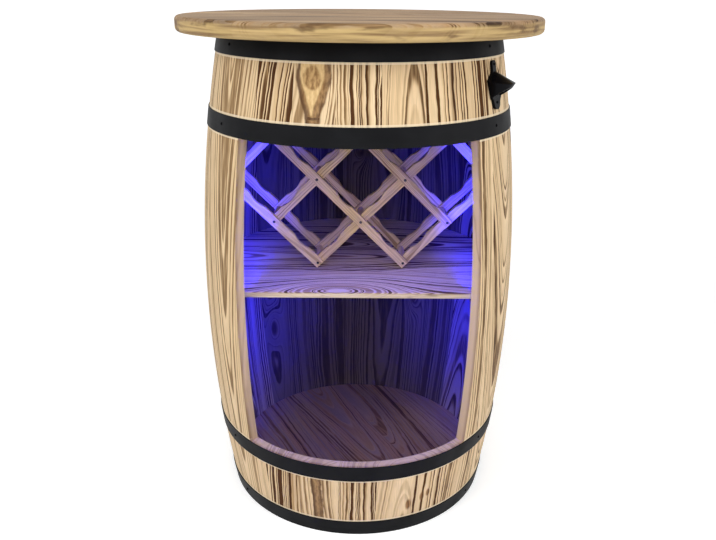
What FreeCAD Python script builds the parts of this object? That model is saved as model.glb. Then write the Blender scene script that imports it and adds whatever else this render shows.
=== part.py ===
"""Barrel bar cabinet: a stave barrel with a round tabletop, an open front, a shelf and a folding rack.

Frame: origin on the ground at the barrel's axis, +Z up, the open front towards -Y, millimetres.
Angles around the barrel are counted from the front (-Y), positive towards +X.
"""
import FreeCAD
import Part
import math
import os
import re
import Sketcher

Vector = FreeCAD.Vector
Placement = FreeCAD.Placement
Rotation = FreeCAD.Rotation

# name, value (millimetres, degrees or a count), what it is
SIZES = (
    ("barrel_height", 748, "staves, from the ground to the underside of the tabletop"),
    ("bulge_height", 350, "height of the widest place"),
    ("bulge_radius", 250, "outer radius of the staves at the widest place"),
    ("profile_radius", 1970, "radius of the arc that bends each stave's outer face"),
    ("stave_thickness", 15, "thickness of the staves"),
    ("stave_count", 24, "staves around the barrel"),
    ("opening_staves", 6, "width of the front opening, in stave widths"),
    ("opening_bottom", 138, "height of the opening's lower edge, flush with the lower hoop"),
    ("upper_band", 132, "height of the staves over the opening, down to the upper hoop's lower edge"),
    ("hoop_width", 26.5, "height of each hoop's band"),
    ("hoop_thickness", 1.5, "thickness of the hoops' strip"),
    ("drill_approach", 0.7, "how far before a surface a drilled hole starts"),
    ("hoop_screw_angle", 56, "angle of the hoop screws, left and right of the front"),
    ("head_thickness", 16, "thickness of the two round heads"),
    ("head_seat", 5, "depth of the groove or rebate that a head sits in"),
    ("floor_height", 28, "height of the upper face of the floor head"),
    ("tabletop_radius", 270, "radius of the tabletop"),
    ("tabletop_thickness", 22, "thickness of the tabletop"),
    ("tabletop_rounding", 6, "radius of the tabletop's rounded edges"),
    ("shelf_height", 383.5, "height of the shelf's upper face"),
    ("shelf_thickness", 8, "thickness of the shelf"),
    ("shelf_front", 150, "distance of the shelf's straight front edge before the axis"),
    ("shelf_clearance", 0.5, "gap between the shelf's round edge and the staves"),
    ("cleat_angle", 12, "length of a shelf cleat, as an angle"),
    ("cleat_height", 14, "height of a shelf cleat"),
    ("cleat_depth", 14, "depth of a shelf cleat, from the staves inwards"),
    ("front_cleat_angle", 75, "angle of the two front cleats"),
    ("back_cleat_angle", 135, "angle of the two back cleats"),
    ("wood_screw_radius", 1.75, "shank of a wood screw"),
    ("wood_screw_length", 25, "length under the head of a wood screw"),
    ("wood_screw_head_radius", 4, "head of a wood screw"),
    ("wood_screw_head_height", 2, "height of a wood screw's head"),
    ("top_screw_count", 6, "screws that hold the tabletop to the top head"),
    ("top_screw_circle", 150, "radius of the circle of the tabletop's screws"),
    ("black_screw_radius", 1.4, "shank of the black screws of the hoops and the opener"),
    ("black_screw_length", 12, "length under the head of a black screw"),
    ("black_screw_head_radius", 2.4, "head of a black screw"),
    ("black_screw_head_height", 1.2, "height of a black screw's head"),
    ("pin_pitch", 96.75, "distance between two crossings along a rack slat"),
    ("rack_angle", 45, "slope of the slats when the rack is open"),
    ("rack_depth", 90, "depth of the rack over its outer slats"),
    ("rack_offset", 3.6, "how far to the right the rack stands from the barrel's axis"),
    ("slat_width", 14, "width of a rack slat"),
    ("slat_thickness", 8, "thickness of a rack slat"),
    ("slat_overhang", 5, "length of a slat past its last nail"),
    ("slat_gap", 0.3, "gap between slats that turn on each other"),
    ("rack_foot_gap", 0.3, "gap between the rack's lower tips and the shelf"),
    ("bottle_radius", 38, "radius of a wine bottle"),
    ("bottle_clearance", 1, "how much wider a scallop's arc is than the bottle"),
    ("scallop_depth", 3.5, "depth of a scallop in a slat's upper edge"),
    ("dowel_radius", 5, "radius of the rack's dowels"),
    ("nail_radius", 1.25, "shank of the rack's nails"),
    ("nail_length", 25, "length under the head of a rack nail"),
    ("nail_head_radius", 2.2, "head of a rack nail"),
    ("nail_head_height", 1, "height of a rack nail's head"),
    ("nail_clearance", 0.1, "radial play of a nail in the slat that turns on it"),
    ("led_width", 10, "width of the lighting strip"),
    ("led_thickness", 1.2, "thickness of the lighting strip and of its flat lead"),
    ("led_setback", 5, "distance of the lighting strip from the opening's edges"),
    ("chip_size", 5, "side of a light-emitting package"),
    ("chip_height", 1.5, "height of a light-emitting package"),
    ("chip_pitch", 33.3, "distance between light-emitting packages"),
    ("lead_width", 6, "width of the flat lead"),
    ("controller_angle", 160, "angle of the lighting controller"),
    ("controller_width", 58, "width of the lighting controller"),
    ("controller_height", 30, "height of the lighting controller"),
    ("controller_depth", 18, "depth of the lighting controller"),
    ("controller_drop", 36, "distance from the shelf's upper face down to the controller's middle"),
    ("controller_gap", 0.3, "gap between the controller's corners and the staves"),
    ("grommet_angle", 180, "angle of the cable grommet"),
    ("grommet_drop", 33.5, "distance from the shelf's upper face down to the cable grommet's middle"),
    ("grommet_hole_radius", 3, "bore of the grommet"),
    ("grommet_neck_radius", 6, "neck of the grommet, in the stave's hole"),
    ("grommet_flange_radius", 9, "flanges of the grommet"),
    ("grommet_flange_height", 2, "thickness of a grommet flange"),
    ("grommet_slack", 0.3, "gap between a grommet flange and the curved stave"),
    ("opener_angle", 56.5, "angle of the bottle opener"),
    ("opener_drop", 64, "distance from the tabletop's underside down to the bottle opener's middle"),
    ("opener_plate_thickness", 4, "thickness of the opener's back plate"),
    ("upper_lobe_radius", 5.5, "radius of the plate's upper end"),
    ("upper_lobe_rise", 27.5, "height of the upper screw over the opener's middle"),
    ("lower_lobe_radius", 9.5, "radius of the plate's lower end"),
    ("lower_lobe_drop", 24, "depth of the lower screw under the opener's middle"),
    ("plate_waist_width", 28, "width of the plate under the hood's edge"),
    ("plate_waist_drop", 3, "depth of that waist under the opener's middle"),
    ("hood_top", 17.5, "height at which the hood's roof leaves the plate"),
    ("hood_top_reach", 5, "how far the hood's roof stands out there"),
    ("hood_edge", 6.6, "height of the hood's widest edge at the plate"),
    ("hood_width", 38, "width of the hood at the plate, at its widest edge"),
    ("hood_reach", 32.3, "length of the hood's edge, from the plate to the nose"),
    ("hood_tilt", 15, "slope of the hood's edge, down towards the nose"),
    ("hood_foot", 16, "depth of the hood's rim under the opener's middle, at the plate"),
    ("hood_foot_width", 26, "width of the hood at the foot of its rim"),
    ("hood_foot_reach", 16, "how far the hood's sides stand out at the foot of its rim"),
    ("hood_lip", 3, "depth of the hood's rim under the opener's middle, at the nose"),
    ("hood_wall", 3, "wall of the opener's hood"),
    ("tooth_width", 10, "width of the tooth that lifts the cap"),
    ("tooth_reach", 5, "how far the tooth stands off the plate"),
    ("tooth_height", 4, "height of the tooth"),
)

# Rack slats: the column and row of the lowest crossing, and how many cells the slat spans.
# Columns count half cells from the middle, rows from the shelf.
DOWN_SLATS = ((-1, 0, 2), (1, 0, 3), (2, 1, 2), (3, 2, 1))
UP_SLATS = ((-3, 2, 1), (-2, 1, 2), (-1, 0, 3), (1, 0, 2))

doc = FreeCAD.newDocument("barrel_bar_cabinet")
dims = doc.addObject("Spreadsheet::Sheet", "dims")
for row, (name, amount, note) in enumerate(SIZES, start=1):
    dims.set("A%d" % row, name)
    dims.set("B%d" % row, str(amount))
    dims.set("C%d" % row, note)
    dims.setAlias("B%d" % row, name)
doc.recompute()

SIZE_NAMES = {name for name, amount, note in SIZES}
subparts = []


# ---------------------------------------------------------------- expressions

def bound(expression):
    """The expression with every size name pointed at the spreadsheet."""
    def point(match):
        word = match.group(0)
        return "dims." + word if word in SIZE_NAMES else word
    return re.sub(r"[A-Za-z_]+", point, str(expression))


def number(expression):
    """The value of an expression in millimetres, degrees or a count."""
    result = dims.evalExpression(bound(expression))
    return float(getattr(result, "Value", result))


def profile(height, offset="0"):
    """Radius, at a height, of the surface that lies offset outside the staves' outer face."""
    return ("(bulge_radius - profile_radius"
            " + sqrt((profile_radius + (%s))^2 - ((%s) - bulge_height)^2))" % (offset, height))


def wall(height, offset="0"):
    """Radius, at a height, of the surface that lies offset inside the staves' inner face."""
    return profile(height, "0 - stave_thickness - (%s)" % offset)


def profile_arc(offset="0"):
    """The arc that runs parallel to the staves' outer face: radius and centre."""
    return ("profile_radius + (%s)" % offset, "bulge_radius - profile_radius", "bulge_height")


def wall_arc(offset="0"):
    """The arc that runs parallel to the staves' inner face, offset inwards."""
    return profile_arc("0 - stave_thickness - (%s)" % offset)


STAVE_ANGLE = "(360 / stave_count)"
OPENING_ANGLE = "(opening_staves * 180 / stave_count)"
OPENING_TOP = "(barrel_height - upper_band)"
TOP_SEAT = "(barrel_height - head_thickness)"
FLOOR_SEAT = "(floor_height - head_thickness)"
TOP_HEAD_RADIUS = "(%s + head_seat)" % wall(TOP_SEAT)
FLOOR_HEAD_RADIUS = "(%s + head_seat)" % wall("floor_height")
SHELF_UNDERSIDE = "(shelf_height - shelf_thickness)"
SCALLOP_RADIUS = "(bottle_radius + bottle_clearance)"


# ------------------------------------------------------- bodies and features

def register(node, label):
    """Name a finished sub-part and put it on the list of files to write."""
    node.Label = label
    subparts.append(node)
    return node


def new_body(name):
    return doc.addObject("PartDesign::Body", name)


def origin_feature(body, role):
    return [item for item in body.Origin.OriginFeatures if item.Role == role][0]


def new_sketch(body, name, plane):
    sketch = body.newObject("Sketcher::SketchObject", name)
    sketch.AttachmentSupport = [(origin_feature(body, plane), "")]
    sketch.MapMode = "FlatFace"
    return sketch


def pin_down(sketch, geometry, point, x, y):
    """Hold a point of the sketch at two expressions, counted from the sketch's origin."""
    for kind, expression in (("DistanceX", x), ("DistanceY", y)):
        constraint = Sketcher.Constraint(kind, -1, 1, geometry, point, number(expression))
        index = sketch.addConstraint(constraint)
        sketch.setExpression("Constraints[%d]" % index, bound(expression))


def hold_radius(sketch, geometry, radius):
    index = sketch.addConstraint(Sketcher.Constraint("Radius", geometry, number(radius)))
    sketch.setExpression("Constraints[%d]" % index, bound(radius))


def add_edge(sketch, start, end, arc):
    """Add a line, or the shorter way round an arc; give the edge's start and end point numbers."""
    if arc is None:
        sketch.addGeometry(Part.LineSegment(start, end), False)
        return 1, 2
    radius, centre_x, centre_y = arc
    centre = Vector(number(centre_x), number(centre_y), 0)
    circle = Part.Circle(centre, Vector(0, 0, 1), number(radius))
    first = math.atan2(start.y - centre.y, start.x - centre.x)
    last = math.atan2(end.y - centre.y, end.x - centre.x)
    turn = (last - first + math.pi) % (2 * math.pi) - math.pi
    if turn > 0:
        sketch.addGeometry(Part.ArcOfCircle(circle, first, first + turn), False)
        return 1, 2
    sketch.addGeometry(Part.ArcOfCircle(circle, last, last - turn), False)
    return 2, 1


def draw_outline(sketch, corners):
    """Close an outline through corners (x, y) or (x, y, arc), where the arc leads to the next one."""
    places = [Vector(number(corner[0]), number(corner[1]), 0) for corner in corners]
    first = sketch.GeometryCount
    ends = []
    for index, corner in enumerate(corners):
        arc = corner[2] if len(corner) > 2 else None
        ends.append(add_edge(sketch, places[index], places[(index + 1) % len(places)], arc))
    for index, corner in enumerate(corners):
        after = (index + 1) % len(corners)
        sketch.addConstraint(Sketcher.Constraint(
            "Coincident", first + index, ends[index][1], first + after, ends[after][0]))
        pin_down(sketch, first + index, ends[index][0], corner[0], corner[1])
        if len(corner) > 2:
            hold_radius(sketch, first + index, corner[2][0])


def draw_circle(sketch, x, y, radius):
    circle = Part.Circle(Vector(number(x), number(y), 0), Vector(0, 0, 1), number(radius))
    geometry = sketch.addGeometry(circle, False)
    pin_down(sketch, geometry, 3, x, y)
    hold_radius(sketch, geometry, radius)


def outlined(body, name, plane, corners):
    sketch = new_sketch(body, name, plane)
    draw_outline(sketch, corners)
    return sketch


def turn(body, sketch, angle="360", kind="Revolution", midplane=False, reverse=False):
    """Turn a sketch about its own vertical axis, to add material or, as a Groove, to cut it."""
    feature = body.newObject("PartDesign::" + kind, sketch.Name + "_turned")
    feature.Profile = sketch
    feature.ReferenceAxis = (sketch, ["V_Axis"])
    feature.Midplane = midplane
    feature.Reversed = reverse
    feature.setExpression("Angle", bound(angle))
    body.Tip = feature
    return feature


def pad(body, sketch, length):
    feature = body.newObject("PartDesign::Pad", sketch.Name + "_padded")
    feature.Profile = sketch
    feature.setExpression("Length", bound(length))
    body.Tip = feature
    return feature


def drilled(name, base, holes):
    """The base with round holes; each hole runs along its place's -Z, from just before the place."""
    bits = []
    for index, (start, radius, depth) in enumerate(holes):
        bit = doc.addObject("Part::Cylinder", "%s_bit_%d" % (name, index))
        bit.Placement = start.multiply(Placement(Vector(0, 0, -number(depth)), Rotation()))
        bit.setExpression("Radius", bound(radius))
        bit.setExpression("Height", bound("%s + drill_approach" % depth))
        bits.append(bit)
    if not bits:
        return base
    base.Label = name + "_blank"
    tool = doc.addObject("Part::Compound", name + "_bits")
    tool.Links = bits
    cut = doc.addObject("Part::Cut", name + "_drilled")
    cut.Base = base
    cut.Tool = tool
    return cut


def pattern_around(body, original, axis, angle, count):
    feature = body.newObject("PartDesign::PolarPattern", original.Name + "_pattern")
    feature.Originals = [original]
    feature.Axis = axis
    feature.setExpression("Angle", bound(angle))
    feature.setExpression("Occurrences", bound(count))
    body.Tip = feature
    return feature


def place(node, x="0", y="0", z="0", axis=Vector(0, 0, 1), angle="0"):
    """Bind a sub-part's place to expressions: a point, and a turn about an axis."""
    node.Placement = Placement(Vector(), Rotation(axis, number(angle)))
    for key, expression in (("Base.x", x), ("Base.y", y), ("Base.z", z), ("Rotation.Angle", angle)):
        node.setExpression("Placement." + key, bound(expression))
    return node


def face_angle(node, angle, z="0"):
    """Turn a sub-part that is drawn at +X to an angle around the barrel."""
    return place(node, z=z, angle="(%s) - 90" % angle)


def copies(name, master, placements):
    """A group of separate solids: the master's shape at each placement."""
    links = []
    for index, placement in enumerate(placements, start=1):
        link = doc.addObject("App::Link", "%s_%d" % (name, index))
        link.LinkedObject = master
        link.Placement = placement
        links.append(link)
    return links


def group(name, members):
    node = doc.addObject("Part::Compound", name)
    node.Links = members
    return register(node, name)


# ------------------------------------------------------ places on the barrel

def barrel_place(angle, height, offset="0"):
    """A place on the staves' outer face, +Z along the face's normal, +Y along the grain."""
    radius = number("profile_radius + (%s)" % offset)
    lean = math.asin((number(height) - number("bulge_height")) / number("profile_radius"))
    out = number("bulge_radius - profile_radius") + radius * math.cos(lean)
    around = math.radians(number(angle))
    base = Vector(out * math.sin(around), -out * math.cos(around),
                  number("bulge_height") + radius * math.sin(lean))
    stand = Rotation(Vector(1, 0, 0), 90)
    tilt = Rotation(Vector(1, 0, 0), -math.degrees(lean))
    swing = Rotation(Vector(0, 0, 1), number(angle))
    return Placement(base, swing.multiply(tilt).multiply(stand))


def inward_place(angle, radius, height):
    """A place at a radius inside the barrel, +Z level and towards the axis."""
    around = math.radians(number(angle))
    base = Vector(number(radius) * math.sin(around), -number(radius) * math.cos(around), number(height))
    swing = Rotation(Vector(0, 0, 1), number(angle))
    return Placement(base, swing.multiply(Rotation(Vector(1, 0, 0), -90)))


def hoop_bottoms():
    """Each hoop's name and the height of its lower edge."""
    return (("hoop_bottom", "0"),
            ("hoop_lower", "opening_bottom - hoop_width"),
            ("hoop_upper", OPENING_TOP),
            ("hoop_top", "barrel_height - hoop_width"))


def hoop_screw_places(bottom):
    height = "(%s) + hoop_width / 2" % bottom
    return [barrel_place("%s * hoop_screw_angle" % side, height, "hoop_thickness")
            for side in ("-1", "1")]


def opener_place():
    return barrel_place("opener_angle", "barrel_height - opener_drop").multiply(
        Placement(Vector(), Rotation(Vector(1, 0, 0), -90)))


def opener_screw_places():
    stand = Rotation(Vector(1, 0, 0), 90)
    front = -number("opener_plate_thickness")
    return [opener_place().multiply(Placement(Vector(0, front, number(height)), stand))
            for height in ("0 - lower_lobe_drop", "upper_lobe_rise")]


CLEAT_ANGLES = ["%s * %s" % (side, angle) for side in ("-1", "1")
                for angle in ("front_cleat_angle", "back_cleat_angle")]
CLEAT_MIDDLE = "(%s - cleat_height / 2)" % SHELF_UNDERSIDE
CLEAT_FACE = "(%s - cleat_depth)" % wall(SHELF_UNDERSIDE)


def cleat_screw_places():
    """The heads' rims meet the hollow face of the cleats."""
    seat = "sqrt(%s^2 - wood_screw_head_radius^2)" % CLEAT_FACE
    return [inward_place(angle, seat, CLEAT_MIDDLE) for angle in CLEAT_ANGLES]


def top_screw_places():
    """Heads under the top head, shanks up into the tabletop."""
    found = []
    for index in range(int(number("top_screw_count"))):
        around = math.radians(index * 360 / number("top_screw_count"))
        reach = number("top_screw_circle")
        base = Vector(reach * math.cos(around), reach * math.sin(around), number(TOP_SEAT))
        found.append(Placement(base, Rotation(Vector(1, 0, 0), 180)))
    return found


def grommet_place():
    """The inner face of the grommet's inner flange, +Z towards the axis."""
    depth = "0 - stave_thickness - grommet_slack"
    return barrel_place("grommet_angle", "shelf_height - grommet_drop", depth).multiply(
        Placement(Vector(), Rotation(Vector(1, 0, 0), 180)))


def holes_at(places, radius, depth):
    return [(start, radius, depth) for start in places]


def stave_holes():
    """Every hole that the staves need, as place, radius and depth."""
    black = opener_screw_places()
    for name, bottom in hoop_bottoms():
        black += hoop_screw_places(bottom)
    return (holes_at(black, "black_screw_radius", "black_screw_length")
            + holes_at(cleat_screw_places(), "wood_screw_radius", "wood_screw_length")
            + holes_at([grommet_place()], "grommet_neck_radius", "3 * stave_thickness"))


# --------------------------------------------------------------------- staves

def stave_corners(bottom, top):
    """Outline of a stave or of a cut part of one, at +X, between two heights."""
    corners = [(profile(bottom), bottom, profile_arc()), (profile(top), top)]
    if top == "barrel_height":
        corners += [(TOP_HEAD_RADIUS, top), (TOP_HEAD_RADIUS, TOP_SEAT)]
        corners += [(wall(TOP_SEAT), TOP_SEAT, wall_arc())]
    else:
        corners += [(wall(top), top, wall_arc())]
    if bottom == "0":
        corners += [(wall("floor_height"), "floor_height"), (FLOOR_HEAD_RADIUS, "floor_height")]
        corners += [(FLOOR_HEAD_RADIUS, FLOOR_SEAT), (wall(FLOOR_SEAT), FLOOR_SEAT, wall_arc())]
    corners += [(wall(bottom), bottom)]
    return corners


def meets_stave(hole, angle, bottom, top):
    """Whether a hole cuts into the stave at an angle, between two heights."""
    start, radius, depth = hole
    around = math.degrees(math.atan2(start.Base.x, -start.Base.y))
    apart = (around - angle + 180) % 360 - 180
    reach = math.degrees(number(radius) / number("bulge_radius")) + number(STAVE_ANGLE) / 2
    return abs(apart) < reach and bottom < start.Base.z < top


def make_stave(name, index, holes, bottom="0", top="barrel_height", notch=None):
    """One stave; a notch of -1 or 1 cuts the opening out of the half on that side."""
    angle = "%d * %s" % (index, STAVE_ANGLE)
    body = new_body(name)
    sketch = outlined(body, name + "_profile", "XZ_Plane", stave_corners(bottom, top))
    turn(body, sketch, STAVE_ANGLE, midplane=True)
    if notch:
        outside = profile("bulge_height", "stave_thickness")
        inside = wall("barrel_height", "stave_thickness")
        window = outlined(body, name + "_window", "XZ_Plane", [
            (inside, "opening_bottom"), (outside, "opening_bottom"),
            (outside, OPENING_TOP), (inside, OPENING_TOP)])
        turn(body, window, STAVE_ANGLE, kind="Groove", reverse=notch < 0)
    face_angle(body, angle)
    near = [hole for hole in holes if meets_stave(hole, number(angle), number(bottom), number(top))]
    return register(drilled(name, body, near), name)


def make_staves():
    """Whole staves, the two that the opening notches, and the short ones over and under it."""
    count = int(number("stave_count"))
    half = number("opening_staves") / 2
    holes = stave_holes()
    for place_number in range(count):
        index = place_number if place_number <= count // 2 else place_number - count
        label = "%02d" % (place_number + 1)
        if abs(index) < half:
            make_stave("short_stave_upper_" + label, index, holes, bottom=OPENING_TOP)
            make_stave("short_stave_lower_" + label, index, holes, top="opening_bottom")
        elif abs(index) == half:
            make_stave("jamb_stave_" + label, index, holes, notch=-1 if index > 0 else 1)
        else:
            make_stave("stave_" + label, index, holes)


def make_hoops():
    for name, bottom in hoop_bottoms():
        top = "(%s) + hoop_width" % bottom
        body = new_body(name)
        sketch = outlined(body, name + "_section", "XZ_Plane", [
            (profile(bottom), bottom),
            (profile(bottom, "hoop_thickness"), bottom, profile_arc("hoop_thickness")),
            (profile(top, "hoop_thickness"), top),
            (profile(top), top, profile_arc())])
        turn(body, sketch)
        holes = holes_at(hoop_screw_places(bottom), "black_screw_radius", "2 * hoop_thickness")
        register(drilled(name, body, holes), name)


# ------------------------------------------------- heads, tabletop and shelf

def make_disc(name, radius, thickness):
    body = new_body(name)
    sketch = new_sketch(body, name + "_outline", "XY_Plane")
    draw_circle(sketch, "0", "0", radius)
    pad(body, sketch, thickness)
    return body


def make_heads():
    """The floor head in its groove and the top head in its rebate, flush with the staves' ends."""
    floor = place(make_disc("floor_head", FLOOR_HEAD_RADIUS, "head_thickness"), z=FLOOR_SEAT)
    nails = holes_at(hoop_screw_places("0"), "black_screw_radius", "black_screw_length")
    register(drilled("floor_head", floor, nails), "floor_head")
    top = place(make_disc("top_head", TOP_HEAD_RADIUS, "head_thickness"), z=TOP_SEAT)
    screws = holes_at(top_screw_places(), "wood_screw_radius", "2 * head_thickness")
    register(drilled("top_head", top, screws), "top_head")


def make_tabletop():
    body = new_body("tabletop")
    edge = "(tabletop_radius - tabletop_rounding)"
    upper = "(tabletop_thickness - tabletop_rounding)"
    sketch = outlined(body, "tabletop_section", "XZ_Plane", [
        ("0", "0"),
        (edge, "0", ("tabletop_rounding", edge, "tabletop_rounding")),
        ("tabletop_radius", "tabletop_rounding"),
        ("tabletop_radius", upper, ("tabletop_rounding", edge, upper)),
        (edge, "tabletop_thickness"),
        ("0", "tabletop_thickness")])
    turn(body, sketch)
    place(body, z="barrel_height")
    screws = holes_at(top_screw_places(), "wood_screw_radius", "wood_screw_length")
    register(drilled("tabletop", body, screws), "tabletop")


def make_shelf():
    body = new_body("shelf")
    radius = "(%s - shelf_clearance)" % wall("shelf_height")
    half = "sqrt(%s^2 - shelf_front^2)" % radius
    edge = (radius, "0", "0")
    sketch = outlined(body, "shelf_outline", "XY_Plane", [
        ("0 - " + half, "0 - shelf_front"), (half, "0 - shelf_front", edge), ("0", radius, edge)])
    pad(body, sketch, "shelf_thickness")
    place(body, z=SHELF_UNDERSIDE)
    register(body, "shelf")


def make_shelf_cleats():
    cleat = new_body("cleat_pattern")
    bottom = "(%s - cleat_height)" % SHELF_UNDERSIDE
    sketch = outlined(cleat, "cleat_section", "XZ_Plane", [
        (CLEAT_FACE, bottom), (wall(bottom), bottom, wall_arc()),
        (wall(SHELF_UNDERSIDE), SHELF_UNDERSIDE), (CLEAT_FACE, SHELF_UNDERSIDE)])
    turn(cleat, sketch, "cleat_angle", midplane=True)
    screw = holes_at([inward_place("90", CLEAT_FACE, CLEAT_MIDDLE)], "wood_screw_radius", "2 * cleat_depth")
    turns = [Placement(Vector(), Rotation(Vector(0, 0, 1), number(angle) - 90)) for angle in CLEAT_ANGLES]
    group("shelf_cleats", copies("shelf_cleat", drilled("cleat_pattern", cleat, screw), turns))


# -------------------------------------------------------------------- screws

def make_fastener(name, radius, length, head_radius, head_height):
    """A screw or nail with its head's underside at the origin and its shank along -Z."""
    body = new_body(name + "_pattern")
    tip = "2 * " + radius
    sketch = outlined(body, name + "_section", "XZ_Plane", [
        ("0", head_height), ("%s - %s" % (head_radius, head_height), head_height),
        (head_radius, "0"), (radius, "0"), (radius, "%s - %s" % (tip, length)),
        ("0", "0 - " + length)])
    turn(body, sketch)
    return body


def make_screws():
    wood = make_fastener("wood_screw", "wood_screw_radius", "wood_screw_length",
                         "wood_screw_head_radius", "wood_screw_head_height")
    group("wood_screws", copies("wood_screw", wood, top_screw_places() + cleat_screw_places()))
    black = make_fastener("black_screw", "black_screw_radius", "black_screw_length",
                          "black_screw_head_radius", "black_screw_head_height")
    places = opener_screw_places()
    for name, bottom in hoop_bottoms():
        places += hoop_screw_places(bottom)
    group("black_screws", copies("black_screw", black, places))


# ---------------------------------------------------------------------- rack

RACK_FOOT = "(slat_overhang * sin(rack_angle) + slat_width / 2 * cos(rack_angle))"
LOWEST_PIN = "(shelf_height + rack_foot_gap + %s)" % RACK_FOOT
OUTER_FACE = "(rack_depth / 2)"
CROSS_FACE = "(rack_depth / 2 - slat_thickness - slat_gap)"
INNER_FACE = "(%s - slat_thickness)" % CROSS_FACE


def pin_x(column):
    return "rack_offset + (%d) * pin_pitch * cos(rack_angle)" % column


def pin_z(row):
    return "%s + %d * pin_pitch * sin(rack_angle)" % (LOWEST_PIN, row)


def slat_corners(cells, side):
    """Outline of a slat along +X from its lowest nail; side 1 or -1 has the scallops."""
    edge = "%d * slat_width / 2" % side
    far_edge = "%d * slat_width / 2" % -side
    start = "0 - slat_overhang"
    end = "%d * pin_pitch + slat_overhang" % cells
    rest = "((%s - scallop_depth + slat_width / 2) * tan(rack_angle))" % SCALLOP_RADIUS
    reach = "sqrt(%s^2 - (%s - scallop_depth)^2)" % (SCALLOP_RADIUS, SCALLOP_RADIUS)
    rise = "%d * (slat_width / 2 + %s - scallop_depth)" % (side, SCALLOP_RADIUS)
    corners = [(start, edge), (start, far_edge), (end, far_edge), (end, edge)]
    for cell in reversed(range(cells)):
        middle = "(%d * pin_pitch + %s)" % (cell, rest)
        corners += [("%s + %s" % (middle, reach), edge, (SCALLOP_RADIUS, middle, rise)),
                    ("%s - %s" % (middle, reach), edge)]
    return corners


def make_slat_pair(name, column, row, cells, side, hole_radius, front, back):
    """Two equal slats, one in the front lattice and one in the back, that turn together."""
    body = new_body(name + "_pattern")
    sketch = outlined(body, name + "_outline", "XZ_Plane", slat_corners(cells, side))
    for crossing in range(cells + 1):
        draw_circle(sketch, "%d * pin_pitch" % crossing, "0", hole_radius)
    pad(body, sketch, "slat_thickness")
    angle = "0 - rack_angle" if side > 0 else "rack_angle - 180"
    pair = []
    for index, depth in enumerate((front, back)):
        link = doc.addObject("App::Link", "%s_%d" % (name, index))
        link.LinkedObject = body
        place(link, pin_x(column), depth, pin_z(row), Vector(0, 1, 0), angle)
        pair.append(link)
    group(name, pair)


def make_rack_pins(number_text, column, row, cells):
    """Dowels between the two lattices, and the nails that hold them and carry the down slats."""
    dowel = new_body("dowel_pattern_" + number_text)
    sketch = new_sketch(dowel, "dowel_section_" + number_text, "XY_Plane")
    draw_circle(sketch, "0", "0", "dowel_radius")
    pad(dowel, sketch, "2 * " + INNER_FACE)
    bite = "nail_length - slat_gap - rack_depth / 2 + %s" % INNER_FACE
    ends = [Placement(Vector(), Rotation(Vector(1, 0, 0), 180)),
            Placement(Vector(0, 0, 2 * number(INNER_FACE)), Rotation())]
    dowel = drilled("dowel_" + number_text, dowel, holes_at(ends, "nail_radius", bite))
    nail = make_fastener("nail_" + number_text, "nail_radius", "nail_length",
                         "nail_head_radius", "nail_head_height")
    dowels = []
    nails = []
    for crossing in range(cells + 1):
        x = number(pin_x(column + crossing))
        z = number(pin_z(row + crossing))
        inner = number(INNER_FACE)
        head = number(OUTER_FACE) + number("slat_gap")
        dowels.append(Placement(Vector(x, inner, z), Rotation(Vector(1, 0, 0), 90)))
        nails.append(Placement(Vector(x, -head, z), Rotation(Vector(1, 0, 0), 90)))
        nails.append(Placement(Vector(x, head, z), Rotation(Vector(1, 0, 0), -90)))
    group("rack_dowels_" + number_text, copies("rack_dowel_" + number_text, dowel, dowels))
    group("rack_nails_" + number_text, copies("rack_nail_" + number_text, nail, nails))


def make_rack():
    """Down slats lie outside and turn on the nails; up slats lie inside and hold nails and dowels."""
    running = "nail_radius + nail_clearance"
    for index, (column, row, cells) in enumerate(DOWN_SLATS, start=1):
        make_slat_pair("rack_down_slats_%d" % index, column, row, cells, -1, running,
                       "slat_thickness - " + OUTER_FACE, OUTER_FACE)
    for index, (column, row, cells) in enumerate(UP_SLATS, start=1):
        make_slat_pair("rack_up_slats_%d" % index, column, row, cells, 1, "nail_radius",
                       "0 - " + INNER_FACE, CROSS_FACE)
        make_rack_pins(str(index), column, row, cells)


# ------------------------------------------------------------------ lighting

def along_wall(length):
    """The angle that a length along the inner wall takes up."""
    return "((%s) / %s * 180 / pi)" % (length, wall("bulge_height"))


STRIP_ANGLE = "(%s + %s)" % (OPENING_ANGLE, along_wall("led_setback + led_width / 2"))
STRIP_BOTTOM = "(opening_bottom + led_setback)"
STRIP_TOP = "(%s + led_setback)" % OPENING_TOP
LEAD_TOP = "(shelf_height - controller_drop + lead_width / 2)"


def strip_section(bottom, top, inner, outer):
    return [(wall(bottom, inner), bottom), (wall(bottom, outer), bottom, wall_arc(outer)),
            (wall(top, outer), top), (wall(top, inner), top, wall_arc(inner))]


def chip_section(bottom):
    """A package, soldered half through the strip's thickness."""
    top = "(%s) + chip_size" % bottom
    return strip_section(bottom, top, "led_thickness + chip_height", "led_thickness / 2")


def make_side_strip(name):
    """A strip that climbs the wall beside the opening, with a package at every pitch."""
    body = new_body(name)
    tape = outlined(body, name + "_tape", "XZ_Plane",
                    strip_section(STRIP_BOTTOM, STRIP_TOP, "led_thickness", "0"))
    turn(body, tape, along_wall("led_width"), midplane=True)
    chip = outlined(body, name + "_chip", "XZ_Plane", chip_section(STRIP_BOTTOM + " + chip_size"))
    first = turn(body, chip, along_wall("chip_size"), midplane=True)
    centre = new_sketch(body, name + "_centre", "XZ_Plane")
    centre.AttachmentOffset = Placement(
        Vector(number("bulge_radius - profile_radius"), number("bulge_height"), 0), Rotation())
    count = int(number("(%s - %s) / chip_pitch" % (STRIP_TOP, STRIP_BOTTOM)))
    climb = "%d * chip_pitch / (profile_radius - stave_thickness) * 180 / pi" % (count - 1)
    pattern_around(body, first, (centre, ["N_Axis"]), climb, count)
    return body


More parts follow.
